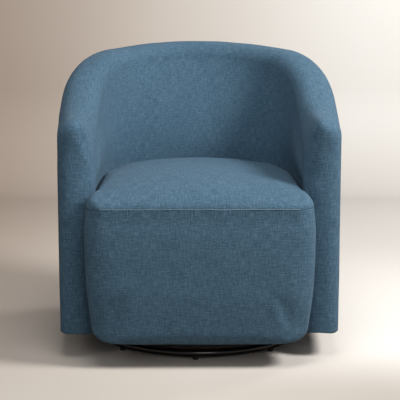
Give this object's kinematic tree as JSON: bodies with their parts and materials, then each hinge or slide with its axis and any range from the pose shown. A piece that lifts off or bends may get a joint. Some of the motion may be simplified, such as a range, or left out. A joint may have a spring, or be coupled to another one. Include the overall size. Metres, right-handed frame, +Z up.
{
  "type": "swivel rocker chair",
  "caption": "Upholstered barrel armchair with a wrap-around back sweeping down into the arms, a tight crowned seat, and a low round tube base on which it swivels and rocks.",
  "frame": {"origin": "on the floor under the swivel axis, which is the middle of the chair's footprint", "axes": "+Z up along the swivel axis, -Y towards the chair's front, +X to the viewer's right of someone facing the chair"},
  "size_m": [0.7364, 0.762, 0.788],
  "materials": {
    "upholstery": "woven blue tweed, matte",
    "black_cambric": "black non-woven cloth, matte",
    "felt_pad": "grey felt, matte",
    "timber": "sawn hardwood, matte",
    "plywood": "birch plywood, matte",
    "black_tube": "black powder coat, glossy",
    "black_plate": "black powder coat, satin",
    "zinc_steel": "zinc plated, satin",
    "bearing_steel": "ground and polished",
    "spring_steel": "oiled spring steel, satin",
    "nylon": "natural nylon, matte",
    "black_plastic": "black moulded, satin",
    "rubber": "black rubber, matte"
  },
  "bodies": {
    "base": {"base_ring": "black_tube", "base_spokes": "black_tube", "foot_pads": "black_plastic", "hub_plate": "black_tube", "king_pin": "zinc_steel", "king_pin_washer": "zinc_steel", "king_pin_nut": "zinc_steel", "lower_bearing_race": "bearing_steel"},
    "bearing_cage": {"ball_cage": "nylon", "bearing_balls": "bearing_steel"},
    "swivel": {"upper_bearing_race": "bearing_steel", "swivel_yoke": "black_plate", "swivel_bush": "nylon", "rocker_axle": "zinc_steel", "axle_clips": "zinc_steel", "lower_spring_cups": "black_plate", "bumper_posts": "black_plate", "bumper_caps": "rubber", "right_front_rocker_spring": "spring_steel", "right_rear_rocker_spring": "spring_steel", "left_front_rocker_spring": "spring_steel", "left_rear_rocker_spring": "spring_steel"},
    "seat": {"back_outer_panel": "upholstery", "back_post": "timber", "back_seat_rail": "timber", "base_board": "plywood", "bottom_rail": "timber", "corner_blocks": "timber", "dust_cover": "black_cambric", "front_apron": "upholstery", "front_board": "timber", "inner_padding": "upholstery", "insulator_pad": "felt_pad", "left_arm_facing": "upholstery", "left_arm_post": "timber", "left_axle_bush": "nylon", "left_corner_post": "timber", "left_outer_panel": "upholstery", "left_seat_rail": "timber", "left_side_post": "timber", "mechanism_bolts": "zinc_steel", "mechanism_nuts": "zinc_steel", "right_arm_facing": "upholstery", "right_arm_post": "timber", "right_axle_bush": "nylon", "right_corner_post": "timber", "right_outer_panel": "upholstery", "right_seat_rail": "timber", "right_side_post": "timber", "rocker_plate": "black_plate", "seat_cushion": "upholstery", "seat_springs": "spring_steel", "spring_clips": "nylon", "top_rail": "timber", "upper_spring_cups": "black_plate"}
  },
  "joints": [
    {"name": "swivel_turn", "type": "hinge", "parent": "base", "child": "swivel", "pos_m": [0, 0, 0.0375], "axis": [0, 0, 1], "continuous": true},
    {"name": "cage_turn", "type": "hinge", "parent": "base", "child": "bearing_cage", "pos_m": [0, 0, 0.0365], "axis": [0, 0, 1], "continuous": true},
    {"name": "rock", "type": "hinge", "parent": "swivel", "child": "seat", "pos_m": [0, 0, 0.1], "axis": [1, 0, 0], "range_deg": [-6, 6], "stiffness_Nm_per_rad": 900, "deforming": ["right_front_rocker_spring", "right_rear_rocker_spring", "left_front_rocker_spring", "left_rear_rocker_spring"]}
  ],
  "couplings": [
    {"joint": "cage_turn", "follows": "swivel_turn", "ratio": 0.5}
  ]
}
